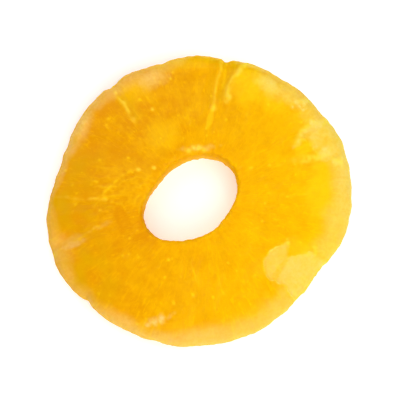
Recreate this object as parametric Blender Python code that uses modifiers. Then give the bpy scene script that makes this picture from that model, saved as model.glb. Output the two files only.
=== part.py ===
"""A candied pineapple ring: one slice of peeled, cored fruit that was steeped in sugar and dried.

Metres, +Z up. The slice lies flat on its cut underside, with the origin in the middle of its base.
It is turned as a plain ring with rounded edges. Every point of that blank is then moved to where it
sits on the dried fruit: an uneven outline, an oval hole, and creases where the fruitlets meet.
"""

import math
from collections import namedtuple

import bmesh
import bpy
from mathutils import Vector, noise

MM = 0.001
NAME = "pineapple_ring"

# The slice, measured across its middle.
OUTER_RADIUS = 34.3 * MM
HOLE_RADIUS = 10.3 * MM
HOLE_OFFSET = Vector((-1.7 * MM, -0.1 * MM))
THICKNESS = 9.2 * MM

# Edges of the turned blank, each an elliptical quarter: how far in, and how far up or down.
RIM_TOP_EDGE = (6.6 * MM, 5.0 * MM)
RIM_BASE_EDGE = (4.4 * MM, 3.4 * MM)
HOLE_TOP_EDGE = (0.6 * MM, 0.6 * MM)
HOLE_BASE_EDGE = (1.0 * MM, 1.0 * MM)

# The fruit tapers, so the peeled rim slopes more on one side of the slice. Its top edge has its full
# size at one bearing, and this share of it on the other side.
SLOPING_SIDE = 330
STEEP_SHARE = 0.45

# Segments round the ring, and along each stretch of its section.
TURN_STEPS = 120
FACE_STEPS = 8
RIM_TOP_STEPS = 6
RIM_SIDE_STEPS = 2
RIM_BASE_STEPS = 4
BASE_STEPS = 4
HOLE_BASE_STEPS = 2
HOLE_SIDE_STEPS = 3
HOLE_TOP_STEPS = 3

# Waves that bend a circle: how many to a turn, their height, and the angle of one crest.
Wave = namedtuple("Wave", "count height crest")
RIM_WAVES = (
    Wave(2, 1.1 * MM, 31),
    Wave(3, 0.3 * MM, 355),
    Wave(4, 0.4 * MM, 15),
    Wave(5, 0.3 * MM, 347),
)
HOLE_WAVES = (Wave(2, 1.7 * MM, 39), Wave(3, 0.2 * MM, 200), Wave(4, 0.3 * MM, 32))

# Fruitlets that stand out of the rim, or lie back from it.
Bulge = namedtuple("Bulge", "angle half_width height")
RIM_BULGES = (
    Bulge(22, 4.5 * MM, 0.6 * MM),
    Bulge(110, 6.0 * MM, -0.6 * MM),
    Bulge(171, 7.0 * MM, -0.8 * MM),
    Bulge(274, 5.0 * MM, -0.65 * MM),
    Bulge(331, 5.0 * MM, -0.8 * MM),
)

# A crease between two fruitlets. It starts on the face at the radius start, and runs out over the
# rim, which it notches. Lean is how far round the ring it has moved by the time it meets the base.
Crease = namedtuple("Crease", "angle start depth notch width lean")
CREASES = (
    Crease(18, 23.5 * MM, 0.6 * MM, 0.1 * MM, 1.1 * MM, 5),
    Crease(33, 24.0 * MM, 1.0 * MM, 0.1 * MM, 1.2 * MM, 6),
    Crease(55, 29.5 * MM, 0.5 * MM, 0.4 * MM, 1.6 * MM, 4),
    Crease(77, 23.0 * MM, 0.9 * MM, 1.1 * MM, 1.3 * MM, 5),
    Crease(103, 29.0 * MM, 0.4 * MM, 0.5 * MM, 1.5 * MM, 4),
    Crease(126, 22.5 * MM, 0.9 * MM, 0.7 * MM, 1.5 * MM, 5),
    Crease(157, 28.0 * MM, 0.5 * MM, 0.4 * MM, 1.5 * MM, 4),
    Crease(199, 25.5 * MM, 1.1 * MM, 0.1 * MM, 1.3 * MM, 6),
    Crease(221, 29.5 * MM, 0.5 * MM, 1.0 * MM, 1.6 * MM, 4),
    Crease(250, 28.5 * MM, 0.6 * MM, 0.3 * MM, 1.3 * MM, 5),
    Crease(283, 28.0 * MM, 0.5 * MM, 0.3 * MM, 1.4 * MM, 5),
)
CREASE_RUN_IN = 7.0 * MM
NOTCH_FROM = 0.72

# The slanting facet where an eye was cut out of the rim: its bearing, half its width, the radius it
# starts at, how deep it is by the rim, how far it cuts the rim back, and how soft its sides are.
FACET_ANGLE = 322
FACET_HALF_WIDTH = 6.2 * MM
FACET_START = 21.5 * MM
FACET_DEPTH = 1.5 * MM
FACET_NOTCH = 1.3 * MM
FACET_EDGE = 1.5 * MM
FACET_WANDER = 2.0 * MM

# Unevenness of the dried slice.
THICK_SIDE = 215
THICK_SHARE = 0.05
CROWN_DROP = 0.5 * MM
SWELL_HEIGHT = 0.45 * MM
SWELL_SIZE = 11.0 * MM
HOLE_WAIST = 0.35 * MM
BASE_CREASE_SHARE = 0.5


def smooth(low, high, x):
    """0 up to low, 1 from high on, and an even S between them."""
    t = min(1.0, max(0.0, (x - low) / (high - low)))
    return t * t * (3 - 2 * t)


def turned_by(angle, degrees):
    """How far angle, in radians, lies round from a bearing in degrees, from -pi to pi."""
    return math.remainder(angle - math.radians(degrees), 2 * math.pi)


def bent_radius(mean, waves, angle):
    """The radius of a circle bent by waves, at one angle."""
    return mean + sum(w.height * math.cos(w.count * turned_by(angle, w.crest)) for w in waves)


def rim_radius(angle):
    """The radius of the rim at one angle: a circle bent by waves, with bulges and dents."""
    rim = bent_radius(OUTER_RADIUS, RIM_WAVES, angle)
    for bulge in RIM_BULGES:
        off = OUTER_RADIUS * turned_by(angle, bulge.angle) / bulge.half_width
        rim += bulge.height * math.exp(-off * off)
    return rim


def quarter(centre, reach, start, steps):
    """Points of an elliptical quarter that turns clockwise from start degrees, without its last."""
    points = []
    for i in range(steps):
        a = math.radians(start - 90 * i / steps)
        points.append((centre[0] + reach[0] * math.cos(a), centre[1] + reach[1] * math.sin(a)))
    return points


def straight(first, last, steps):
    """Points along a line, without its last."""
    return [Vector(first).lerp(Vector(last), i / steps)[:] for i in range(steps)]


def blank_section():
    """The closed section of the blank in its (radius, height) plane.

    It runs out along the face, down the rim, in along the base and up the side of the hole.
    """
    rim_top = (OUTER_RADIUS - RIM_TOP_EDGE[0], THICKNESS - RIM_TOP_EDGE[1])
    rim_base = (OUTER_RADIUS - RIM_BASE_EDGE[0], RIM_BASE_EDGE[1])
    hole_base = (HOLE_RADIUS + HOLE_BASE_EDGE[0], HOLE_BASE_EDGE[1])
    hole_top = (HOLE_RADIUS + HOLE_TOP_EDGE[0], THICKNESS - HOLE_TOP_EDGE[1])
    return (
        straight((hole_top[0], THICKNESS), (rim_top[0], THICKNESS), FACE_STEPS)
        + quarter(rim_top, RIM_TOP_EDGE, 90, RIM_TOP_STEPS)
        + straight((OUTER_RADIUS, rim_top[1]), (OUTER_RADIUS, rim_base[1]), RIM_SIDE_STEPS)
        + quarter(rim_base, RIM_BASE_EDGE, 0, RIM_BASE_STEPS)
        + straight((rim_base[0], 0), (hole_base[0], 0), BASE_STEPS)
        + quarter(hole_base, HOLE_BASE_EDGE, 270, HOLE_BASE_STEPS)
        + straight((HOLE_RADIUS, hole_base[1]), (HOLE_RADIUS, hole_top[1]), HOLE_SIDE_STEPS)
        + quarter(hole_top, HOLE_TOP_EDGE, 180, HOLE_TOP_STEPS)
    )


def turn_blank(collection):
    """The plain ring, turned from its section by a Screw modifier."""
    section = blank_section()
    mesh = bpy.data.meshes.new("section")
    mesh.from_pydata(
        [(x, 0, z) for x, z in section],
        [(i, (i + 1) % len(section)) for i in range(len(section))],
        [],
    )
    profile = bpy.data.objects.new("section", mesh)
    collection.objects.link(profile)
    screw = profile.modifiers.new("turn", "SCREW")
    screw.steps = screw.render_steps = TURN_STEPS
    screw.use_merge_vertices = True
    screw.merge_threshold = 0.00001
    bpy.context.view_layer.update()
    turned = bpy.data.meshes.new_from_object(
        profile.evaluated_get(bpy.context.evaluated_depsgraph_get())
    )
    bpy.data.objects.remove(profile)
    ring = bpy.data.objects.new(NAME, turned)
    collection.objects.link(ring)
    return ring


def crease_across(crease, radius, angle, height_share):
    """How much of a crease is at a point: a sharp valley within a wide soft one, 1 at its bottom."""
    bearing = crease.angle + crease.lean * (1 - height_share)
    off = radius * turned_by(angle, bearing) / crease.width
    return 0.6 * math.exp(-off * off) + 0.4 * math.exp(-off * off / 9)


def facet_share(point, radius, angle):
    """How far down the facet's slope a point is, from 0 off it to 1 at the rim."""
    wander = FACET_WANDER * noise.noise(Vector((point.x, point.y, 0)) / (4 * FACET_WANDER))
    off = abs(radius * turned_by(angle, FACET_ANGLE)) + wander
    beside = smooth(FACET_HALF_WIDTH - FACET_EDGE, FACET_HALF_WIDTH + FACET_EDGE, off)
    down = (radius + wander - FACET_START) / (OUTER_RADIUS - FACET_START)
    return (1 - beside) * min(1, max(0, down))


def steepened(out, height, angle):
    """Where a point of the section goes, once the rim's top edge has its size for that angle.

    The face and the upright side stretch to meet the smaller edge.
    """
    wide, deep = RIM_TOP_EDGE
    low = RIM_BASE_EDGE[1]
    if height <= low:
        return out, height
    share = 1 - (1 - STEEP_SHARE) * (1 - math.cos(turned_by(angle, SLOPING_SIDE))) / 2
    if out < OUTER_RADIUS - wide:
        stretch = (OUTER_RADIUS - share * wide - HOLE_RADIUS) / (OUTER_RADIUS - wide - HOLE_RADIUS)
        return HOLE_RADIUS + stretch * (out - HOLE_RADIUS), height
    if height >= THICKNESS - deep:
        return OUTER_RADIUS - share * (OUTER_RADIUS - out), THICKNESS - share * (THICKNESS - height)
    stretch = (THICKNESS - share * deep - low) / (THICKNESS - deep - low)
    return out, low + stretch * (height - low)


def polar(radius, angle):
    return Vector((radius * math.cos(angle), radius * math.sin(angle)))


def dried_point(point):
    """Where a point of the blank sits on the dried slice."""
    angle = math.atan2(point.y, point.x)
    out, height = steepened(math.hypot(point.x, point.y), point.z, angle)
    across = (out - HOLE_RADIUS) / (OUTER_RADIUS - HOLE_RADIUS)
    height_share = height / THICKNESS

    hole = bent_radius(HOLE_RADIUS, HOLE_WAVES, angle)
    hole -= HOLE_WAIST * math.sin(math.pi * height_share)
    rim = rim_radius(angle)
    radius = hole + across * (rim - hole)

    sunk = 0.0
    notched = 0.0
    for crease in CREASES:
        share = crease_across(crease, radius, angle, height_share)
        sunk += crease.depth * share * smooth(crease.start, crease.start + CREASE_RUN_IN, radius)
        notched += crease.notch * share
    slope = facet_share(point, radius, angle) * height_share
    notched += FACET_NOTCH * slope
    rim -= notched * smooth(NOTCH_FROM, 1, across)

    thickness = THICKNESS * (1 + THICK_SHARE * math.cos(turned_by(angle, THICK_SIDE)))
    swell = SWELL_HEIGHT * noise.noise(Vector((point.x, point.y, 0)) / SWELL_SIZE)
    face = thickness + swell - CROWN_DROP * across * across - sunk - FACET_DEPTH * slope
    base = BASE_CREASE_SHARE * sunk
    place = (HOLE_OFFSET + polar(hole, angle)).lerp(polar(rim, angle), across)
    return Vector((place.x, place.y, base + height_share * (face - base)))


def shape_slice(ring):
    """Moves the blank's points onto the dried slice, and sets its origin mid-base."""
    mesh = ring.data
    places = [dried_point(vertex.co) for vertex in mesh.vertices]
    middle = Vector(
        [(min(p[i] for p in places) + max(p[i] for p in places)) / 2 for i in range(2)] + [0]
    )
    for vertex, place in zip(mesh.vertices, places):
        vertex.co = place - middle
    shaped = bmesh.new()
    shaped.from_mesh(mesh)
    bmesh.ops.recalc_face_normals(shaped, faces=shaped.faces)
    shaped.to_mesh(mesh)
    shaped.free()
    mesh.shade_smooth()


def candied_flesh():
    """Amber flesh, full of sugar, that light sinks into."""
    material = bpy.data.materials.new("candied_flesh")
    material.use_nodes = True
    shader = material.node_tree.nodes["Principled BSDF"]
    shader.inputs["Base Color"].default_value = (0.96, 0.45, 0.01, 1)
    shader.inputs["Roughness"].default_value = 0.38
    shader.inputs["Metallic"].default_value = 0.0
    shader.inputs["Subsurface Weight"].default_value = 0.6
    shader.inputs["Subsurface Scale"].default_value = 3 * MM
    return material


def clear_scene():
    for old in list(bpy.data.objects):
        bpy.data.objects.remove(old)


def main():
    clear_scene()
    collection = bpy.data.collections.new(NAME)
    bpy.context.scene.collection.children.link(collection)
    ring = turn_blank(collection)
    shape_slice(ring)
    ring.data.materials.append(candied_flesh())


main()
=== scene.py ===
"""A candied pineapple ring, with the marks of its knife and its drying, in a small studio."""

import math
import random
from collections import namedtuple

import bmesh
import bpy
import numpy as np
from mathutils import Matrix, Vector, noise


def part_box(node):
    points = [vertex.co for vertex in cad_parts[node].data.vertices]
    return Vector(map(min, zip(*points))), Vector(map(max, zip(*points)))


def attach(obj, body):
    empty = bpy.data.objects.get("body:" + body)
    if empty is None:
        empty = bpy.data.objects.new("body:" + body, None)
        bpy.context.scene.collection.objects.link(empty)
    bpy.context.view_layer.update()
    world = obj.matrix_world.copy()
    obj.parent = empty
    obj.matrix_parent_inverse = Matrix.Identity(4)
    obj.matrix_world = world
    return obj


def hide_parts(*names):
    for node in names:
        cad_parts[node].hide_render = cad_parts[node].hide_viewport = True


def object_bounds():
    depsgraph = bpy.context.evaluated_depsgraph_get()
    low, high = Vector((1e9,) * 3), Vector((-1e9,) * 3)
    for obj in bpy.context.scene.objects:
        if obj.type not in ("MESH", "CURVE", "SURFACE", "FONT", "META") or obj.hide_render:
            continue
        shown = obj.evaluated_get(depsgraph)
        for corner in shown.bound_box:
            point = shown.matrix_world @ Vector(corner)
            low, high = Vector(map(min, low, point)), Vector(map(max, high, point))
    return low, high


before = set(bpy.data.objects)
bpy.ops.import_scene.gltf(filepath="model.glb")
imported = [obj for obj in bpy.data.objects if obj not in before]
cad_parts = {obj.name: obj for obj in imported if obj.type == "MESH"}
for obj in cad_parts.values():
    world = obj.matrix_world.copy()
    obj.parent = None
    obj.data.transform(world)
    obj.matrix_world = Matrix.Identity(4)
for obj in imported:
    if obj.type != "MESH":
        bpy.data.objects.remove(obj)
packed_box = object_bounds()

# --------------------------------------------------------------------------------------------------
# The viewpoint: almost square on to the shown face, tipped seven degrees towards the near rim, through
# a long lens that keeps the round slice round.
VIEW_ELEVATION = 83
LENS = 135
PICTURE_SHARE = 0.76

camera_data = bpy.data.cameras.new("camera")
camera_data.lens = LENS
camera = bpy.data.objects.new("camera", camera_data)
bpy.context.scene.collection.objects.link(camera)
bpy.context.scene.camera = camera
low, high = packed_box
tip = math.radians(VIEW_ELEVATION)
distance = (high.x - low.x) / PICTURE_SHARE * LENS / camera_data.sensor_width
camera.location = (low + high) / 2 + distance * Vector((0, -math.cos(tip), math.sin(tip)))
camera.rotation_euler = (math.pi / 2 - tip, 0, 0)

# --------------------------------------------------------------------------------------------------
# The slice. A round cut across a peeled pineapple with its core punched out, steeped in syrup until
# its flesh turned clear, then dried. Drying rounded the rim and drew it in between the fruitlets.
MM = 0.001
RING = "pineapple_ring"

# The ring before it dried, in section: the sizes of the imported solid, in finer steps.
OUTER_RADIUS = 34.3 * MM
HOLE_RADIUS = 10.3 * MM
HOLE_OFFSET = (-1.7 * MM, -0.1 * MM)
THICKNESS = 9.2 * MM
RIM_TOP_EDGE = (6.6 * MM, 5.0 * MM)
RIM_BASE_EDGE = (4.4 * MM, 3.4 * MM)
HOLE_TOP_EDGE = (0.6 * MM, 0.6 * MM)
HOLE_BASE_EDGE = (1.0 * MM, 1.0 * MM)
SLOPING_SIDE = 330
STEEP_SHARE = 0.45
TURN_STEPS = 715
FACE_STEPS = 58
RIM_TOP_STEPS = 26
RIM_SIDE_STEPS = 6
RIM_BASE_STEPS = 12
BASE_STEPS = 16
HOLE_BASE_STEPS = 5
HOLE_SIDE_STEPS = 8
HOLE_TOP_STEPS = 8


def quarter(centre, reach, start, steps):
    """Points of an elliptical quarter that turns clockwise from start degrees, without its last."""
    turns = np.radians(start - 90 * np.arange(steps) / steps)
    return np.stack((centre[0] + reach[0] * np.cos(turns), centre[1] + reach[1] * np.sin(turns)), 1)


def straight(first, last, steps):
    """Points along a line, without its last."""
    return np.linspace(first, last, steps, endpoint=False)


def blank_section():
    """The closed section in (radius, height): out along the face, round the rim, and back."""
    rim_top = (OUTER_RADIUS - RIM_TOP_EDGE[0], THICKNESS - RIM_TOP_EDGE[1])
    rim_base = (OUTER_RADIUS - RIM_BASE_EDGE[0], RIM_BASE_EDGE[1])
    hole_base = (HOLE_RADIUS + HOLE_BASE_EDGE[0], HOLE_BASE_EDGE[1])
    hole_top = (HOLE_RADIUS + HOLE_TOP_EDGE[0], THICKNESS - HOLE_TOP_EDGE[1])
    return np.concatenate((
        straight((hole_top[0], THICKNESS), (rim_top[0], THICKNESS), FACE_STEPS),
        quarter(rim_top, RIM_TOP_EDGE, 90, RIM_TOP_STEPS),
        straight((OUTER_RADIUS, rim_top[1]), (OUTER_RADIUS, rim_base[1]), RIM_SIDE_STEPS),
        quarter(rim_base, RIM_BASE_EDGE, 0, RIM_BASE_STEPS),
        straight((rim_base[0], 0), (hole_base[0], 0), BASE_STEPS),
        quarter(hole_base, HOLE_BASE_EDGE, 270, HOLE_BASE_STEPS),
        straight((HOLE_RADIUS, hole_base[1]), (HOLE_RADIUS, hole_top[1]), HOLE_SIDE_STEPS),
        quarter(hole_top, HOLE_TOP_EDGE, 180, HOLE_TOP_STEPS),
    ))


def turn_blank(section):
    """The plain ring, turned from its section by a Screw modifier."""
    mesh = bpy.data.meshes.new("section")
    edges = [(i, (i + 1) % len(section)) for i in range(len(section))]
    mesh.from_pydata([(x, 0, z) for x, z in section], edges, [])
    profile = bpy.data.objects.new("section", mesh)
    bpy.context.scene.collection.objects.link(profile)
    screw = profile.modifiers.new("turn", "SCREW")
    screw.steps = screw.render_steps = TURN_STEPS
    screw.use_merge_vertices = True
    screw.merge_threshold = 0.01 * MM
    bpy.context.view_layer.update()
    turned = bpy.data.meshes.new_from_object(
        profile.evaluated_get(bpy.context.evaluated_depsgraph_get())
    )
    bpy.data.objects.remove(profile)
    shaped = bmesh.new()
    shaped.from_mesh(turned)
    bmesh.ops.recalc_face_normals(shaped, faces=shaped.faces)
    shaped.to_mesh(turned)
    shaped.free()
    turned.shade_smooth()
    return turned


def smooth(start, end, x):
    """0 up to start, 1 from end on, and an even S between them."""
    t = np.clip((x - start) / (end - start), 0, 1)
    return t * t * (3 - 2 * t)


def turned_by(angle, degrees):
    """How far angles lie round from a bearing in degrees, from -pi to pi."""
    return (angle - np.radians(degrees) + np.pi) % (2 * np.pi) - np.pi


def noise_at(points, size):
    """Smooth noise, from about -1 to 1, with lumps of about that size."""
    return np.array([noise.noise(Vector(p)) for p in points / size])


def flat(points):
    """The points laid down on the ground, so that noise there is the same all the way up."""
    return points * (1, 1, 0)


# The outline of the slice and of its hole: circles bent by waves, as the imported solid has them.
Wave = namedtuple("Wave", "count height crest")
RIM_WAVES = (
    Wave(2, 1.1 * MM, 31),
    Wave(3, 0.3 * MM, 355),
    Wave(4, 0.4 * MM, 15),
    Wave(5, 0.3 * MM, 347),
)
HOLE_WAVES = (Wave(2, 1.7 * MM, 39), Wave(3, 0.2 * MM, 200), Wave(4, 0.3 * MM, 32))
THICK_SIDE = 215
THICK_SHARE = 0.05
CROWN_DROP = 0.5 * MM
SWELL_HEIGHT = 0.45 * MM
SWELL_SIZE = 11.0 * MM
HOLE_WAIST = 0.35 * MM


def bent_radius(mean, waves, angle):
    """The radius of a circle bent by waves, at each angle."""
    return mean + sum(w.height * np.cos(w.count * turned_by(angle, w.crest)) for w in waves)


# Fruitlets that stand out of the rim, or lie back from it.
Bulge = namedtuple("Bulge", "angle half_width height")
RIM_BULGES = (
    Bulge(22, 4.5 * MM, 0.6 * MM),
    Bulge(110, 6.0 * MM, -0.6 * MM),
    Bulge(171, 7.0 * MM, -0.8 * MM),
    Bulge(274, 5.0 * MM, -0.65 * MM),
    Bulge(331, 5.0 * MM, -0.8 * MM),
)


def rim_radius(angle):
    """The radius of the rim at each angle: a circle bent by waves, with bulges and dents."""
    rim = bent_radius(OUTER_RADIUS, RIM_WAVES, angle)
    for bulge in RIM_BULGES:
        off = OUTER_RADIUS * turned_by(angle, bulge.angle) / bulge.half_width
        rim += bulge.height * np.exp(-off * off)
    return rim


# Creases between the fruitlets, which run out over the rim and notch it.
Crease = namedtuple("Crease", "angle start depth notch width lean")
CREASES = (
    Crease(18, 23.5 * MM, 0.6 * MM, 0.1 * MM, 1.1 * MM, 5),
    Crease(33, 24.0 * MM, 1.0 * MM, 0.1 * MM, 1.2 * MM, 6),
    Crease(55, 29.5 * MM, 0.5 * MM, 0.4 * MM, 1.6 * MM, 4),
    Crease(77, 23.0 * MM, 0.9 * MM, 1.1 * MM, 1.3 * MM, 5),
    Crease(103, 29.0 * MM, 0.4 * MM, 0.5 * MM, 1.5 * MM, 4),
    Crease(126, 22.5 * MM, 0.9 * MM, 0.7 * MM, 1.5 * MM, 5),
    Crease(157, 28.0 * MM, 0.5 * MM, 0.4 * MM, 1.5 * MM, 4),
    Crease(199, 25.5 * MM, 1.1 * MM, 0.1 * MM, 1.3 * MM, 6),
    Crease(221, 29.5 * MM, 0.5 * MM, 1.0 * MM, 1.6 * MM, 4),
    Crease(250, 28.5 * MM, 0.6 * MM, 0.3 * MM, 1.3 * MM, 5),
    Crease(283, 28.0 * MM, 0.5 * MM, 0.3 * MM, 1.4 * MM, 5),
)
CREASE_RUN_IN = 7.0 * MM
SHARP_SHARE = 0.6
SOFT_SPREAD = 3
NOTCH_FROM = 0.72
BASE_CREASE_SHARE = 0.5


def crease_across(crease, radius, angle, height_share):
    """How much of a crease is at each point: a sharp valley within a wide soft one."""
    bearing = crease.angle + crease.lean * (1 - height_share)
    off = radius * turned_by(angle, bearing) / crease.width
    soft = off / SOFT_SPREAD
    return SHARP_SHARE * np.exp(-off * off) + (1 - SHARP_SHARE) * np.exp(-soft * soft)


# The slanting facet where an eye of the skin was cut out of the rim.
FACET_ANGLE = 322
FACET_HALF_WIDTH = 6.2 * MM
FACET_START = 21.5 * MM
FACET_DEPTH = 1.5 * MM
FACET_NOTCH = 1.3 * MM
FACET_EDGE = 1.5 * MM
FACET_WANDER = 2.0 * MM


def facet_share(points, radius, angle):
    """How far down the facet's slope each point is, from 0 off it to 1 at the rim."""
    wander = FACET_WANDER * noise_at(flat(points), 4 * FACET_WANDER)
    off = abs(radius * turned_by(angle, FACET_ANGLE)) + wander
    beside = smooth(FACET_HALF_WIDTH - FACET_EDGE, FACET_HALF_WIDTH + FACET_EDGE, off)
    down = (radius + wander - FACET_START) / (OUTER_RADIUS - FACET_START)
    return (1 - beside) * np.clip(down, 0, 1)


def steepened(out, height, angle):
    """Where points of the section go, once the rim's top edge has its size for each angle.

    The face and the upright side stretch to meet the smaller edge.
    """
    wide, deep = RIM_TOP_EDGE
    low = RIM_BASE_EDGE[1]
    share = 1 - (1 - STEEP_SHARE) * (1 - np.cos(turned_by(angle, SLOPING_SIDE))) / 2
    face_stretch = (OUTER_RADIUS - share * wide - HOLE_RADIUS) / (OUTER_RADIUS - wide - HOLE_RADIUS)
    side_stretch = (THICKNESS - share * deep - low) / (THICKNESS - deep - low)
    on_face = out < OUTER_RADIUS - wide
    on_edge = ~on_face & (height >= THICKNESS - deep)
    new_out = np.where(on_face, HOLE_RADIUS + face_stretch * (out - HOLE_RADIUS), out)
    new_out = np.where(on_edge, OUTER_RADIUS - share * (OUTER_RADIUS - out), new_out)
    new_height = np.where(on_edge, THICKNESS - share * (THICKNESS - height), height)
    new_height = np.where(on_face | on_edge, new_height, low + side_stretch * (height - low))
    above = height > low
    return np.where(above, new_out, out), np.where(above, new_height, height)


def polar(radius, angle):
    """The places on the ground at each radius and angle."""
    return np.stack((radius * np.cos(angle), radius * np.sin(angle)), 1)


def dried_points(points):
    """Where the points of the blank sit on the dried slice."""
    angle = np.arctan2(points[:, 1], points[:, 0])
    out, height = steepened(np.hypot(points[:, 0], points[:, 1]), points[:, 2], angle)
    across = (out - HOLE_RADIUS) / (OUTER_RADIUS - HOLE_RADIUS)
    height_share = height / THICKNESS

    hole = bent_radius(HOLE_RADIUS, HOLE_WAVES, angle) - HOLE_WAIST * np.sin(np.pi * height_share)
    rim = rim_radius(angle)
    radius = hole + across * (rim - hole)
    sunk = 0
    notched = 0
    for crease in CREASES:
        share = crease_across(crease, radius, angle, height_share)
        sunk += crease.depth * share * smooth(crease.start, crease.start + CREASE_RUN_IN, radius)
        notched += crease.notch * share
    slope = facet_share(points, radius, angle) * height_share
    notched += FACET_NOTCH * slope
    rim -= notched * smooth(NOTCH_FROM, 1, across)

    thickness = THICKNESS * (1 + THICK_SHARE * np.cos(turned_by(angle, THICK_SIDE)))
    swell = SWELL_HEIGHT * noise_at(flat(points), SWELL_SIZE)
    face = thickness + swell - CROWN_DROP * across * across - sunk - FACET_DEPTH * slope
    base = BASE_CREASE_SHARE * sunk
    inner = HOLE_OFFSET + polar(hole, angle)
    place = inner + (polar(rim, angle) - inner) * across[:, None]
    return np.column_stack((place, base + height_share * (face - base)))


ring_mesh = turn_blank(blank_section())
ring_mesh.name = "candied_slice"
blank = np.empty(3 * len(ring_mesh.vertices), np.float32)
ring_mesh.vertices.foreach_get("co", blank)
blank = blank.reshape(-1, 3).astype(float)
points = dried_points(blank)
box_low, box_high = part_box(RING)
spare = (points.min(0) + points.max(0) - np.array(box_low + box_high)) / 2
points -= spare * (1, 1, 0)
ring_mesh.vertices.foreach_set("co", points.astype(np.float32).ravel())
ring_mesh.update()

slice_ring = bpy.data.objects.new("candied_slice", ring_mesh)
bpy.context.scene.collection.objects.link(slice_ring)

# Fine relief, raised along the surface: lips where fruitlets overlap, fibres that run out from the
# core, the grain of dried flesh, and puckers round the rim.
normals = np.empty(3 * len(ring_mesh.vertices), np.float32)
ring_mesh.vertices.foreach_get("normal", normals)
normals = normals.reshape(-1, 3).astype(float)
radius = np.hypot(points[:, 0], points[:, 1])
angle = np.arctan2(points[:, 1], points[:, 0])
height_share = blank[:, 2] / THICKNESS
across = (np.hypot(blank[:, 0], blank[:, 1]) - HOLE_RADIUS) / (OUTER_RADIUS - HOLE_RADIUS)
LUMP_SIZE = 3.4 * MM
LUMP_HEIGHT = 0.10 * MM
GRAIN_SIZE = 1.1 * MM
GRAIN_HEIGHT = 0.045 * MM
CRUMB_SIZE = 0.55 * MM
CRUMB_HEIGHT = 0.04 * MM
FIBRE_SIZE = 1.2 * MM
FIBRE_STRETCH = 4
FIBRE_HEIGHT = 0.05 * MM
FIBRES_MEASURED_AT = 22 * MM
FIBRE_WANDER = 1.2 * MM
FIBRE_WANDER_SIZE = 6 * MM
FIBRES_BARE = 10 * MM
FIBRES_FULL = 20 * MM
PUCKER_SIZE = 4.0 * MM
PUCKER_HEIGHT = 0.2 * MM
WRINKLE_SIZE = 1.6 * MM
WRINKLE_HEIGHT = 0.14 * MM
PUCKER_STRETCH = 3
WRINKLE_STRETCH = 2
WRINKLE_CROWDING = 1.3
WISP_SIZE = 2.4 * MM
WISP_PATCH_SIZE = 5.0 * MM
WISP_WOBBLE = 0.3 * MM
WISP_CORE = 0.02
WISP_EDGE = 0.12
WISP_HEIGHT = 0.06 * MM
TORN_PLACE = (-17 * MM, 1 * MM)
TORN_CORE = 2.5 * MM
TORN_EDGE = 10 * MM
HOLE_RAG_HEIGHT = 0.16 * MM
HOLE_RAG_SHARE = 0.06
UNDERSIDE_CALM = 0.8
FACE_FADES_IN = (0.25, 0.6)
RIM_ROUNDS_OVER = (0.75, 0.97)
UNDERSIDE_ENDS = (0, 0.15)

shown = smooth(*FACE_FADES_IN, height_share)
rim_round = smooth(*RIM_ROUNDS_OVER, across)
underside = 1 - smooth(*UNDERSIDE_ENDS, height_share)
lumps = noise_at(points, LUMP_SIZE)
grain = noise_at(points, GRAIN_SIZE)
crumbs = noise_at(points, CRUMB_SIZE)
round_turn = np.column_stack((np.cos(angle), np.sin(angle), 0 * angle))
up = np.array((0, 0, 1))
wandering = FIBRE_WANDER * noise_at(points, FIBRE_WANDER_SIZE)[:, None] * (1, 1, 0)
along_fibres = FIBRES_MEASURED_AT * round_turn + wandering + up * radius[:, None] / FIBRE_STRETCH
fibres = noise_at(along_fibres, FIBRE_SIZE) * smooth(FIBRES_BARE, FIBRES_FULL, radius)
along_rim = OUTER_RADIUS * round_turn + up * points[:, 2:] / PUCKER_STRETCH
puckers = noise_at(along_rim, PUCKER_SIZE) * rim_round
crowded = WRINKLE_CROWDING * OUTER_RADIUS * round_turn + up * points[:, 2:] / WRINKLE_STRETCH
wrinkles = noise_at(crowded, WRINKLE_SIZE) * rim_round
from_torn = np.hypot(points[:, 0] - TORN_PLACE[0], points[:, 1] - TORN_PLACE[1])
torn = 1 - smooth(TORN_CORE, TORN_EDGE, from_torn)
wobbling = points + WISP_WOBBLE * grain[:, None]
wisps = 1 - smooth(WISP_CORE, WISP_EDGE, abs(noise_at(wobbling, WISP_SIZE)))
wisps *= smooth(0, 0.3, noise_at(points, WISP_PATCH_SIZE) + 0.45 * torn) * (0.5 + 0.5 * torn)
hole_rag = HOLE_RAG_HEIGHT * (grain + 0.7 * lumps) * (1 - smooth(0, HOLE_RAG_SHARE, across))

# From here on, places on the face are given as the camera sees them from its tipped viewpoint, in
# millimetres from the middle of the slice: what stands higher looks further up.
MIDDLE_HEIGHT = (low.z + high.z) / 2
spot = (points[:, :2] + np.outer(points[:, 2] - MIDDLE_HEIGHT, (0, 1 / math.tan(tip)))) / MM
seen_radius = MM * np.hypot(spot[:, 0], spot[:, 1])
seen_angle = np.arctan2(spot[:, 1], spot[:, 0])

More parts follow.
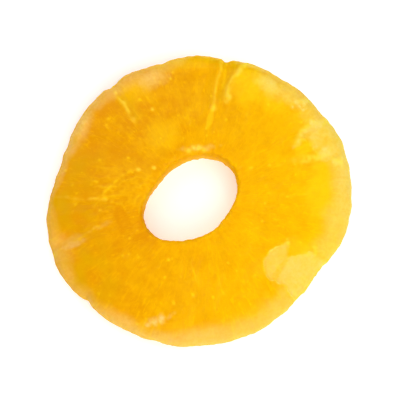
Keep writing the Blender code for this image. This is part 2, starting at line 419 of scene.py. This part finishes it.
# Lips and hollows where one fruitlet laps over the next. Each line is given from its inner end, as
# radius and bearing in degrees, then the lip's half width and height, the hollow's depth and the side
# of the line that it lies on. Lengths are in millimetres.
Fold = namedtuple("Fold", "line width ridge dip side")
FOLDS = (
    Fold(((20, 83.3), (21.5, 81.8), (27, 82), (30.6, 81), (36, 82.5)), 0.4, 0.08, 0.08, 1),
    Fold(((22.5, 74.7), (27, 75.8), (31, 73.8), (33, 72.4), (36, 67)), 0.6, 0.20, 0.16, 1),
    Fold(((22.5, 130.5), (25.2, 129), (27.7, 128), (30.4, 127.8), (36, 127)), 0.5, 0.12, 0.1, -1),
    Fold(((19.3, 183), (21.7, 179.8), (28, 179.2), (36, 178.8)), 0.35, 0.05, 0.12, 1),
    Fold(((26.5, 197), (30.5, 198), (34, 199.5), (36, 201)), 0.4, 0.08, 0.14, -1),
    Fold(((24.5, 29), (28.0, 33.6), (31.5, 34.8), (36, 31)), 0.6, 0.22, 0.0, 1),
    Fold(((25.5, 32), (27.9, 30.5), (28.4, 25.8), (29.0, 22)), 0.4, 0.16, 0.0, 1),
    Fold(((22.5, 22.6), (28.1, 20.6), (30.8, 18.7), (33.5, 15)), 0.8, 0.22, 0.0, -1),
    Fold(((29.5, 48), (32, 45.5), (36, 41)), 0.5, 0.20, 0.10, -1),
)
# Single threads of flesh that were torn loose and dried on the face.
THREADS = (
    Fold(((15.5, 152), (18.4, 162), (20.3, 170), (22, 176), (22.5, 178)), 0.5, 0.06, 0.0, 1),
    Fold(((14.3, 200), (16.3, 194), (17.6, 184.5), (20.3, 180.6), (22.5, 178)), 0.4, 0.05, 0.0, 1),
    Fold(((20.8, 170), (22.0, 173), (23.3, 172), (24.3, 170)), 0.3, 0.10, 0.0, 1),
    Fold(((22.0, 196), (22.8, 197), (23.6, 195.5), (24.2, 194)), 0.3, 0.08, 0.0, 1),
    Fold(((25.5, 79.2), (29.7, 79), (36, 79.2)), 0.25, 0.07, 0.0, 1),
    Fold(((14.0, 262), (16.5, 266), (19.5, 268)), 0.25, 0.04, 0.0, 1),
    Fold(((15.0, 285), (18.0, 283), (22.0, 284)), 0.25, 0.04, 0.0, 1),
)
DIP_WIDTH = 1.1 * MM
FOLD_RUN_IN = 2.5 * MM
FOLD_RUN_OUT = 1.0 * MM
FOLD_WOBBLE = 0.35 * MM
BROKEN_MEAN = 0.8
BROKEN_LIMITS = (0.15, 1.5)


def fold_offset(fold):
    """How far round the ring each point lies from a fold's line, anticlockwise."""
    steps = np.array(fold.line)
    bearing = np.interp(seen_radius, steps[:, 0] * MM, steps[:, 1])
    return seen_radius * turned_by(seen_angle, bearing)


ridges = 0
threads = 0
dips = 0
broken = np.clip(BROKEN_MEAN + 1.1 * grain + 0.5 * lumps, *BROKEN_LIMITS)
for fold in FOLDS + THREADS:
    start = fold.line[0][0] * MM
    end = fold.line[-1][0] * MM
    there = smooth(start, start + FOLD_RUN_IN, seen_radius) * shown
    there *= 1 - smooth(end, end + FOLD_RUN_OUT, seen_radius)
    off = fold_offset(fold) + FOLD_WOBBLE * (lumps + 0.6 * grain)
    raised = fold.ridge * MM * broken * there * np.exp(-((off / (fold.width * MM)) ** 2))
    if fold in THREADS:
        threads += raised
    else:
        ridges += raised
    beside = off * fold.side / DIP_WIDTH - 1
    dips += fold.dip * MM * there * np.exp(-beside * beside)

# Cuts of the paring knife, with crisp edges: an eye was taken out of the rim in two strokes. The lobe
# is a pale flap of a fruitlet, with a softer edge. Outlines are in millimetres.
EYE_CUT = (
    (16.6, -17.6), (18.5, -14.8), (20.4, -13.0), (22.5, -12.7), (25.1, -12.0), (26.9, -13.4),
    (30.5, -15.6), (31, -20), (24.6, -27.5), (22.3, -23.6), (20.2, -20.4), (17.8, -18.9),
)
SHALLOW_CUT = (
    (14.6, -13.6), (16.8, -11.3), (20.2, -9.6), (20.3, -13.2), (18.9, -15.2), (17.6, -18.0),
    (16.0, -18.4), (14.6, -16.6),
)
LOBE = (
    (21.4, 12.0), (23.2, 15.9), (26.2, 18.4), (28.0, 18.9), (30.5, 18.0), (34.5, 14.0), (37.0, 8.6),
    (31.0, 8.8), (29.6, 9.9), (27.3, 10.4), (26.0, 11.8), (25.0, 14.0), (23.6, 14.4), (22.2, 12.2),
)
CUT_EDGE = 0.3
CUT_RAG_LUMPS = 0.3
CUT_RAG_GRAIN = 0.35
CUT_DEPTH = 0.35 * MM
CUT_ROUGHNESS = 0.35
LIP_HEIGHT = 0.15 * MM
SEAM_DEPTH = 0.12 * MM


def inside_by(outline):
    """How many millimetres inside an outline each point is seen to lie; negative outside."""
    corners = np.array(outline)
    nearest = np.full(len(spot), np.inf)
    inside = np.zeros(len(spot), bool)
    for first, last in zip(corners, np.roll(corners, -1, 0)):
        side = last - first
        along = np.clip((spot - first) @ side / (side @ side), 0, 1)
        nearest = np.minimum(nearest, np.hypot(*(spot - first - along[:, None] * side).T))
        level = (spot[:, 1] > first[1]) != (spot[:, 1] > last[1])
        crossing = first[0] + (spot[:, 1] - first[1]) * side[0] / (side[1] or 1)
        inside ^= level & (spot[:, 0] < crossing)
    return np.where(inside, nearest, -nearest)


def cut_share(outline, edge):
    """1 within an outline, falling to 0 over its uneven edge."""
    rag = CUT_RAG_LUMPS * lumps + CUT_RAG_GRAIN * grain
    return smooth(-edge, edge, inside_by(outline) + rag) * shown


eye_cut = cut_share(EYE_CUT, CUT_EDGE)
shallow_cut = cut_share(SHALLOW_CUT, CUT_EDGE)
cut = np.maximum(eye_cut, shallow_cut)
seam = np.clip(4 * eye_cut * shallow_cut, 0, 1)

# Crumbs of torn flesh that stand on the face, as x, y and half width in millimetres: the ones that
# can be told apart, and a fine scatter of others.
# Two nubs stand where glints are, and their colour paints those glints: (33.2, 12.6) among the yellow
# nubs and (-26.8, 18.0) among the pale ones.
YELLOW_NUBS = (
    (3.1, 21.5, 0.65), (-11.0, 21.0, 0.35), (-14.1, 7.0, 0.4), (-10.6, 7.4, 0.35), (33.2, 12.6, 0.3),
    (19.8, -8.9, 0.35), (20.2, -9.9, 0.3), (26.2, -10.9, 0.4), (26.3, -11.7, 0.4), (26.2, -12.5, 0.4),
    (24.6, -12.6, 0.4), (25.3, -12.6, 0.4), (-2.6, 11.5, 0.6), (-1.5, 12.1, 0.6), (-0.3, 12.0, 0.6),
    (0.7, 11.5, 0.5),
)
PALE_NUBS = (
    (20.9, -24.3, 0.55), (-12.0, -28.5, 0.6), (-11.2, -27.7, 0.5), (-10.2, -27.9, 0.6),
    (-9.0, -27.6, 0.5), (-8.7, -26.7, 0.6), (23.9, 22.6, 0.7), (24.8, 22.9, 0.6), (22.9, 21.9, 0.5),
    (21.4, 21.6, 0.5), (22.2, 22.9, 0.5), (-26.8, 18.0, 0.8),
)
CRUMB_COUNT = 80
CRUMB_HALF_WIDTHS = (0.12, 0.30)
CRUMBS_THICKEST_AT = 150
CRUMBS_SPREAD = 95
CRUMBS_FROM = 13.5
CRUMBS_TO = 32
NUB_RISE = 0.45


def nub_shares(places):
    """How much of a nub is at each point, and how high the nubs raise it."""
    share = 0
    raised = 0
    for at_x, at_y, half_width in places:
        off = np.hypot(spot[:, 0] - at_x, spot[:, 1] - at_y) / half_width
        nub = np.exp(-((off + 0.9 * grain + 0.5 * lumps) ** 2)) * shown
        share = np.maximum(share, nub)
        raised = np.maximum(raised, NUB_RISE * half_width * MM * nub)
    return share, raised


random.seed(11)
scatter = []
for _ in range(CRUMB_COUNT):
    bearing = math.radians(random.gauss(CRUMBS_THICKEST_AT, CRUMBS_SPREAD))
    out = random.uniform(CRUMBS_FROM, CRUMBS_TO)
    half_width = random.uniform(*CRUMB_HALF_WIDTHS)
    scatter.append((out * math.cos(bearing), out * math.sin(bearing), half_width))
yellow_nubs, yellow_relief = nub_shares(YELLOW_NUBS)
pale_nubs, pale_relief = nub_shares(PALE_NUBS)
specks, speck_relief = nub_shares(scatter)

# Torn, crumbly flesh, in soft patches: middle, half length, half width, turn, softness and strength.
Patch = namedtuple("Patch", "x y long wide turn edge share")
CRUMBLY_PATCHES = (
    Patch(23.7, 22.1, 2.4, 1.1, -33, 0.5, 0.6),
    Patch(32.4, 10.0, 0.8, 2.2, 15, 0.5, 0.45),
    Patch(-10.3, -27.7, 2.1, 0.5, 22, 0.5, 0.65),
    Patch(-0.9, 12.0, 2.0, 0.5, 5, 0.4, 0.4),
)
CRUMBLY_HEIGHT = 0.2 * MM


def patch_share(patch):
    """1 within a soft patch, with an uneven edge."""
    turn = math.radians(patch.turn)
    x, y = (spot - (patch.x, patch.y)).T
    along = (x * math.cos(turn) + y * math.sin(turn)) / patch.long
    beside = (y * math.cos(turn) - x * math.sin(turn)) / patch.wide
    out = (np.hypot(along, beside) - 1) * patch.wide
    return 1 - smooth(-patch.edge, patch.edge, out + 0.8 * lumps + 0.6 * grain)


crumbly = 0
for patch in CRUMBLY_PATCHES:
    crumbly = np.maximum(crumbly, patch.share * patch_share(patch) * shown)
crumbly = crumbly * np.clip(0.8 + 1.2 * crumbs + 0.8 * grain, 0, 1.6)
cut_lip = np.clip(4 * cut * (1 - cut), 0, 1) * np.clip(0.7 + 0.7 * grain + 0.6 * lumps, 0, 1.3)
lobe = cut_share(LOBE, 2 * CUT_EDGE)
relief = (
    ridges
    + threads
    - dips
    - CUT_DEPTH * cut * (1 + CUT_ROUGHNESS * grain)
    - SEAM_DEPTH * seam
    + LIP_HEIGHT * cut_lip
    + FIBRE_HEIGHT * fibres
    + LUMP_HEIGHT * lumps
    + GRAIN_HEIGHT * grain * (1 + np.maximum(cut, lobe))
    + CRUMB_HEIGHT * crumbs
    + PUCKER_HEIGHT * puckers
    + WRINKLE_HEIGHT * wrinkles
    + WISP_HEIGHT * wisps
    + hole_rag
    + yellow_relief
    + pale_relief
    + speck_relief
    + CRUMBLY_HEIGHT * crumbly
)
points += normals * (relief * (1 - UNDERSIDE_CALM * underside))[:, None]
points[:, 2] = np.maximum(points[:, 2], 0)
ring_mesh.vertices.foreach_set("co", points.astype(np.float32).ravel())
ring_mesh.update()

# Where it is pale: the thin rim, by bearing, width in millimetres and strength, partly cloudy flesh
# and partly a painted sheen of reflected light on its rounded edge; the cuts; the lips of the folds;
# and a few soft patches, those on the rim partly painted reflections of the lamps.
PALE_RIM = (
    (0, 6.5, 0.55), (12, 5.5, 0.6), (35, 5.5, 0.42), (55, 5.0, 0.3), (66, 2.5, 0.35), (74, 1.0, 0.2),
    (92, 1.2, 0.2), (102, 3.0, 0.35), (120, 4.0, 0.5), (140, 2.8, 0.55), (152, 3.8, 0.75),
    (165, 1.8, 0.5), (178, 1.2, 0.35), (190, 3.0, 0.35), (204, 4.4, 0.42), (215, 3.2, 0.35),
    (235, 3.6, 0.5), (255, 2.6, 0.5), (270, 5.2, 0.53), (295, 5.0, 0.43), (320, 6.0, 0.4),
    (343, 6.0, 0.36), (352, 7.5, 0.48),
)
PALE_PATCHES = (
    Patch(21.0, 25.0, 6.5, 1.8, -33, 1.2, 0.45),
    Patch(16.6, 27.0, 2.8, 1.8, -33, 2.0, 0.7),
    Patch(27.7, 17.5, 2.2, 1.2, -12, 0.4, 0.75),
    Patch(30.9, 15.0, 1.5, 0.5, -30, 0.4, 0.6),
    Patch(29.8, 10.0, 2.0, 0.5, 3, 0.5, 0.45),
    Patch(31.6, 8.2, 1.6, 0.6, -50, 0.5, 0.6),
    Patch(-11.2, 28.7, 3.0, 2.2, 20, 1.6, 0.6),
    Patch(-28.6, -8.9, 2.2, 0.1, 26, 0.6, 0.3),
    Patch(-31.2, -11.1, 1.8, 0.2, 22, 0.6, 0.5),
    Patch(-10.3, -27.7, 2.1, 0.35, 22, 0.5, 0.45),
    Patch(-0.8, 12.0, 2.2, 0.35, 5, 0.4, 0.35),
)
# Soft patches of lighter yellow, and one of darker. Some are painted light: the long one along the far
# rim and the one on the rim at the upper right lighten rim that slopes away from the lamps. The darker
# one left of the hole is painted shade. The others are lighter yellow flesh.
LIT_AND_BRIGHT_PATCHES = (
    Patch(-14.5, -6.0, 6.0, 3.0, -40, 2.0, -0.5),
    Patch(15.5, 23.8, 4.5, 2.0, -35, 2.0, 0.45),
    Patch(16.5, 27.2, 2.6, 1.4, -33, 1.5, 0.5),
    Patch(27.0, 2.0, 2.5, 6.5, -8, 3.0, 0.45),
    Patch(24.0, 12.0, 1.6, 1.2, 40, 0.6, 0.4),
    Patch(27.9, 17.4, 2.2, 1.2, -12, 0.4, 0.4),
    Patch(22.6, -10.8, 2.2, 1.2, -20, 0.6, 0.2),
    Patch(11.0, 27.0, 3.0, 5.0, -20, 1.5, 0.45),
    Patch(2.2, 18.6, 0.7, 2.4, -15, 0.6, 0.5),
    Patch(-1.0, 32.5, 8.0, 1.6, 0, 1.5, 0.35),
    Patch(-15.0, 25.0, 3.5, 2.0, 30, 1.5, 0.4),
    Patch(-8.5, 15.0, 3.0, 3.0, 0, 2.0, 0.4),
)
RIM_WANDER = 0.9 * MM
RIM_CLEARS_FROM = 0.28
RIM_CLEARS_LATER = 0.14
RIM_CLEARS_TO = 1.1
SHALLOW_PALE = 0.35
EYE_PALE = 0.52
LOBE_PALE = 0.4
FOLD_PALE = 0.25
FOLD_PALE_PER_MM = 1.2
CUT_LIP_PALE = 0.6
YELLOW_NUB_PALE = 0.15
PALE_NUB_PALE = 0.85
BELOW_PALE = 0.12
SHADE_BESIDE_CUT = 0.4
SHADE_OUTSIDE_BY = 0.7
SHADE_HALF_WIDTH = 0.5

bearings, widths, strengths = np.array(PALE_RIM).T
pale_width = MM * np.interp(np.degrees(angle), bearings, widths, period=360)
strength = np.interp(np.degrees(angle), bearings, strengths, period=360)
inward = rim_radius(angle) - radius + RIM_WANDER * (lumps + 0.5 * fibres)
clears_from = RIM_CLEARS_FROM + RIM_CLEARS_LATER * np.cos(angle)
pale = strength * (1 - smooth(clears_from * pale_width, RIM_CLEARS_TO * pale_width, inward))
for patch in PALE_PATCHES:
    pale = np.maximum(pale, patch.share * patch_share(patch))
# Painted shade: just outside the eye cut's edge the paleness is taken away, leaving a darker orange
# line as the shadow of its lip.
shade_beside_cut = np.exp(-(((inside_by(EYE_CUT) + SHADE_OUTSIDE_BY) / SHADE_HALF_WIDTH) ** 2))
pale *= 1 - SHADE_BESIDE_CUT * shade_beside_cut
uneven = 0.15 * grain + 0.1 * lumps
pale = np.maximum(pale, (SHALLOW_PALE + uneven - 0.2 * seam) * shallow_cut)
pale = np.maximum(pale, (EYE_PALE + uneven - 0.3 * seam) * eye_cut)
pale = np.maximum(pale, (LOBE_PALE + 0.3 * fibres + 0.25 * grain) * lobe)
pale = np.maximum(pale, np.minimum(FOLD_PALE, FOLD_PALE_PER_MM * ridges / MM))
pale = np.maximum(pale, np.maximum(CUT_LIP_PALE * cut_lip, crumbly))
pale = np.maximum(pale, np.maximum(YELLOW_NUB_PALE * yellow_nubs, PALE_NUB_PALE * pale_nubs))

# Where it is brighter yellow. Partly painted highlights: the wisps, and the raised threads, fold lips
# and crumbs where they catch the light. Partly lighter flesh that holds less syrup: crumbs, torn flesh
# and cuts. The soft patches above add lighter flesh and painted light.
WISP_HIGHLIGHT = 0.25
TORN_BRIGHT = 0.2
FOLD_HIGHLIGHT_PER_MM = 7
SPECK_BRIGHT = 0.8
CUT_BRIGHT = 0.2
CUT_LIP_BRIGHT = 0.8

# Painted highlights along the wisps and on the raised folds and threads, with lighter flesh where it
# is torn.
lighter_and_lit = WISP_HIGHLIGHT * wisps + TORN_BRIGHT * torn * np.clip(0.5 + grain + crumbs, 0, 1.5)
lighter_and_lit += np.minimum(1.0, FOLD_HIGHLIGHT_PER_MM * (ridges + threads) / MM)
lighter_and_lit += SPECK_BRIGHT * specks + yellow_nubs
lighter_and_lit += CUT_BRIGHT * (cut + lobe) + CUT_LIP_BRIGHT * cut_lip
for patch in LIT_AND_BRIGHT_PATCHES:
    lighter_and_lit += patch.share * patch_share(patch)

# Where it is darker and greenish: painted shade in the hollows beside the folds, and darker greenish
# flesh towards the rim at the left.
OLIVE_SIDE = 190
OLIVE_CORE = 25
OLIVE_EDGE = 50
OLIVE_FROM = 20 * MM
OLIVE_TO = 31 * MM
OLIVE_DEPTH = 0.8
HOLLOW_SHADE_PER_MM = 2.5

left = 1 - smooth(OLIVE_CORE, OLIVE_EDGE, abs(np.degrees(turned_by(angle, OLIVE_SIDE))))
olive = left * smooth(OLIVE_FROM, OLIVE_TO, radius) * np.clip(0.55 + 0.8 * lumps, 0, 1)
hollow_shade = np.clip(HOLLOW_SHADE_PER_MM * dips / MM, 0, 1)
deep = np.maximum(hollow_shade, OLIVE_DEPTH * olive) * (1 - pale)


def paint(name, values):
    """Keeps a value for each point of the slice, for its material to read."""
    attribute = ring_mesh.attributes.new(name, "FLOAT", "POINT")
    attribute.data.foreach_set("value", values.astype(np.float32))


# The paleness stays on the shown face, and comes further down the side whose rim slopes.
sloping = 0.5 + 0.5 * np.cos(turned_by(angle, SLOPING_SIDE))
upper = smooth(0.5 - 0.2 * sloping, 0.85 - 0.25 * sloping, height_share)
paint("pale", pale * upper + BELOW_PALE * (1 - upper))
paint("deep", deep)
paint("lighter_and_lit", lighter_and_lit * shown)


class Wire:
    """A socket of a material's nodes. Sums on it add Math nodes, so a mask reads as arithmetic."""

    def __init__(self, tree, socket=None):
        self.tree = tree
        self.socket = socket

    def node(self, kind, settings, values, output=0):
        """Adds a node of any type: first its settings, then its sockets' values or wires."""
        made = self.tree.nodes.new(kind)
        for name, setting in settings.items():
            setattr(made, name, setting)
        for name, value in values.items():
            if isinstance(value, Wire):
                self.tree.links.new(value.socket, made.inputs[name])
            else:
                made.inputs[name].default_value = value
        return Wire(self.tree, made.outputs[output])

    def math(self, operation, *values):
        """Adds a Math node on those values or wires."""
        return self.node("ShaderNodeMath", {"operation": operation}, dict(enumerate(values)))

    def __add__(self, other):
        return self.math("ADD", self, other)

    __radd__ = __add__

    def __sub__(self, other):
        return self.math("SUBTRACT", self, other)

    def __rsub__(self, other):
        return self.math("SUBTRACT", other, self)

    def __mul__(self, other):
        return self.math("MULTIPLY", self, other)

    __rmul__ = __mul__

    def __truediv__(self, other):
        return self.math("DIVIDE", self, other)

    def __pow__(self, other):
        return self.math("POWER", self, other)

    def between(self, start, end):
        """0 up to start, 1 from end on, and an even S between them."""
        return self.node(
            "ShaderNodeMapRange",
            {"interpolation_type": "SMOOTHSTEP"},
            {"Value": self, "From Min": start, "From Max": end},
        )

    def mix(self, first, second):
        """The first colour where this is 0, and the second where it is 1."""
        return self.node(
            "ShaderNodeMix",
            {"data_type": "RGBA", "clamp_factor": True},
            {"Factor": self, 6: first, 7: second},
            2,
        )


def new_material(name):
    """An empty material, as its Principled shader and a wire to build on."""
    material = bpy.data.materials.new(name)
    material.use_nodes = True
    tree = material.node_tree
    return material, tree.nodes["Principled BSDF"].inputs, Wire(tree)


def join(inputs, name, wire):
    """Leads a wire to a shader's input."""
    wire.tree.links.new(wire.socket, inputs[name])


AMBER = (0.75, 0.31, 0.001, 1)
YELLOW = (0.97, 0.565, 0.001, 1)
LEMON = (0.97, 0.66, 0.01, 1)
OLIVE = (0.68, 0.37, 0.001, 1)
PEACH = (0.88, 0.57, 0.13, 1)
CLOUDY_AND_SHEEN = (0.95, 0.71, 0.15, 1)
STREAK_SCALE = 0.9
FLECK_SCALE = 1.5
MOTTLE_SCALE = 0.3
FINE_SCALE = 1.3
SKIN_DEPTH = 0.09 * MM
SYRUP_DEPTH = 2.2 * MM

flesh, flesh_inputs, wire = new_material("candied_flesh")
place = wire.node("ShaderNodeTexCoord", {}, {}, "Object")
in_mm = wire.node("ShaderNodeVectorMath", {"operation": "SCALE"}, {0: place, "Scale": 1 / MM})
split = wire.node("ShaderNodeSeparateXYZ", {}, {0: in_mm})
x, y, z = (Wire(wire.tree, socket) for socket in split.socket.node.outputs)
spoke = (x * x + y * y) ** 0.5
fibre_radius = FIBRES_MEASURED_AT / MM
fibre_place = wire.node(
    "ShaderNodeCombineXYZ",
    {},
    {0: fibre_radius * x / spoke, 1: fibre_radius * y / spoke, 2: (spoke + z) / FIBRE_STRETCH},
)
streaks = wire.node(
    "ShaderNodeTexNoise", {}, {"Vector": fibre_place, "Scale": STREAK_SCALE, "Detail": 3.0}
)
flecks = wire.node(
    "ShaderNodeTexNoise",
    {},
    {"Vector": fibre_place, "Scale": FLECK_SCALE, "Detail": 4.0, "Distortion": 1.5},
)
flecks = flecks.between(0.52, 0.72)
mottle = wire.node("ShaderNodeTexNoise", {}, {"Vector": in_mm, "Scale": MOTTLE_SCALE, "Detail": 5.0})
fine = wire.node(
    "ShaderNodeTexNoise",
    {},
    {"Vector": in_mm, "Scale": FINE_SCALE, "Detail": 4.0, "Roughness": 0.6},
)
cloud_and_sheen = wire.node("ShaderNodeAttribute", {"attribute_name": "pale"}, {}, "Fac")
depth = wire.node("ShaderNodeAttribute", {"attribute_name": "deep"}, {}, "Fac")
lit = wire.node("ShaderNodeAttribute", {"attribute_name": "lighter_and_lit"}, {}, "Fac")

# The flesh runs from amber at the left to yellow at the right, and a little yellower towards the near
# side. This gradient is painted light: the side of the key lamp is drawn lighter. Over it the tone is
# uneven with mottle, fibres and grain.
tone_and_light = 0.4 + x / 75 - y / 300
tone_and_light = tone_and_light + 0.75 * (mottle - 0.5) + 0.3 * (streaks - 0.5) + 0.5 * (fine - 0.5) + 0.3 * flecks
# The painted highlights and painted light of the brighter share, with its lighter flesh, push the
# colour towards yellow and lemon.
colour = (tone_and_light + 0.4 * lit).mix(AMBER, YELLOW)
colour = (0.6 * lit).mix(colour, LEMON)
# Painted shade in the hollows beside the folds, and greenish flesh at the left rim, mixed towards
# olive.
colour = depth.mix(colour, OLIVE)
clouded_and_sheen = (0.2 + x / 35 + y / 100 + 0.5 * lit).mix(PEACH, CLOUDY_AND_SHEEN)
# The pale share mixes in cloudy flesh and cut flesh, and on the rim a painted sheen of reflected
# light.
colour = (cloud_and_sheen * (0.3 + 1.4 * fine)).mix(colour, clouded_and_sheen)
join(flesh_inputs, "Base Color", colour)
join(flesh_inputs, "Roughness", 0.38 + 0.25 * (mottle - 0.5) + 0.2 * (fine - 0.5))
join(flesh_inputs, "Coat Weight", 0.05 + 0.3 * cloud_and_sheen)
flesh_inputs["Coat Roughness"].default_value = 0.2
flesh_inputs["Specular IOR Level"].default_value = 0.0
flesh_inputs["Subsurface Weight"].default_value = 0.65
flesh_inputs["Subsurface Radius"].default_value = (1.0, 0.75, 0.1)
flesh_inputs["Subsurface Scale"].default_value = SYRUP_DEPTH
skin = wire.node(
    "ShaderNodeBump",
    {},
    {"Height": 0.8 * fine + 0.2 * streaks, "Strength": 1.0, "Distance": SKIN_DEPTH},
)
join(flesh_inputs, "Normal", skin)
ring_mesh.materials.clear()
ring_mesh.materials.append(flesh)

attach(slice_ring, "root")
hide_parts(RING)

# --------------------------------------------------------------------------------------------------
# The studio: a pale table that glows a little, a soft key light from the front right, and softer light
# from all round, brighter near the horizon than overhead.
FLOOR_HALF_WIDTH = 3.0
FLOOR_DROP = 0.05 * MM
FLOOR_GREY = 0.9
FLOOR_GLOW = 0.3
SKY_OVERHEAD = 0.55
SKY_LOW_EXTRA = 0.75

bpy.ops.mesh.primitive_plane_add(size=2 * FLOOR_HALF_WIDTH, location=(0, 0, -FLOOR_DROP))
floor = bpy.context.object
floor.name = "floor"
floor_paint, floor_inputs, _ = new_material("pale_floor")
floor_inputs["Base Color"].default_value = (FLOOR_GREY, FLOOR_GREY, FLOOR_GREY, 1)
floor_inputs["Roughness"].default_value = 0.6
floor_inputs["Emission Color"].default_value = (1, 1, 1, 1)
floor_inputs["Emission Strength"].default_value = FLOOR_GLOW
floor.data.materials.append(floor_paint)


def softbox(name, azimuth, elevation, away, size, watts):
    """A square area light that faces the slice."""
    data = bpy.data.lights.new(name, "AREA")
    data.size = size
    data.energy = watts
    light = bpy.data.objects.new(name, data)
    a = math.radians(azimuth)
    e = math.radians(elevation)
    light.location = away * Vector((math.cos(e) * math.cos(a), math.cos(e) * math.sin(a), math.sin(e)))
    light.rotation_euler = light.location.to_track_quat("Z", "Y").to_euler()
    bpy.context.scene.collection.objects.link(light)


softbox("key", azimuth=-40, elevation=56, away=0.6, size=0.6, watts=2.8)
softbox("front", azimuth=-100, elevation=38, away=0.6, size=0.5, watts=1.5)
softbox("fill", azimuth=115, elevation=50, away=0.6, size=0.6, watts=2.6)

world = bpy.data.worlds.new("studio")
bpy.context.scene.world = world
world.use_nodes = True
sky = Wire(world.node_tree)
direction = sky.node("ShaderNodeTexCoord", {}, {}, "Generated")
height = sky.node("ShaderNodeSeparateXYZ", {}, {0: direction}, "Z")
sky_light = SKY_OVERHEAD + SKY_LOW_EXTRA * (1 - height.between(0.15, 0.85))
join(world.node_tree.nodes["Background"].inputs, "Strength", sky_light)
bpy.context.scene.view_settings.view_transform = "Standard"
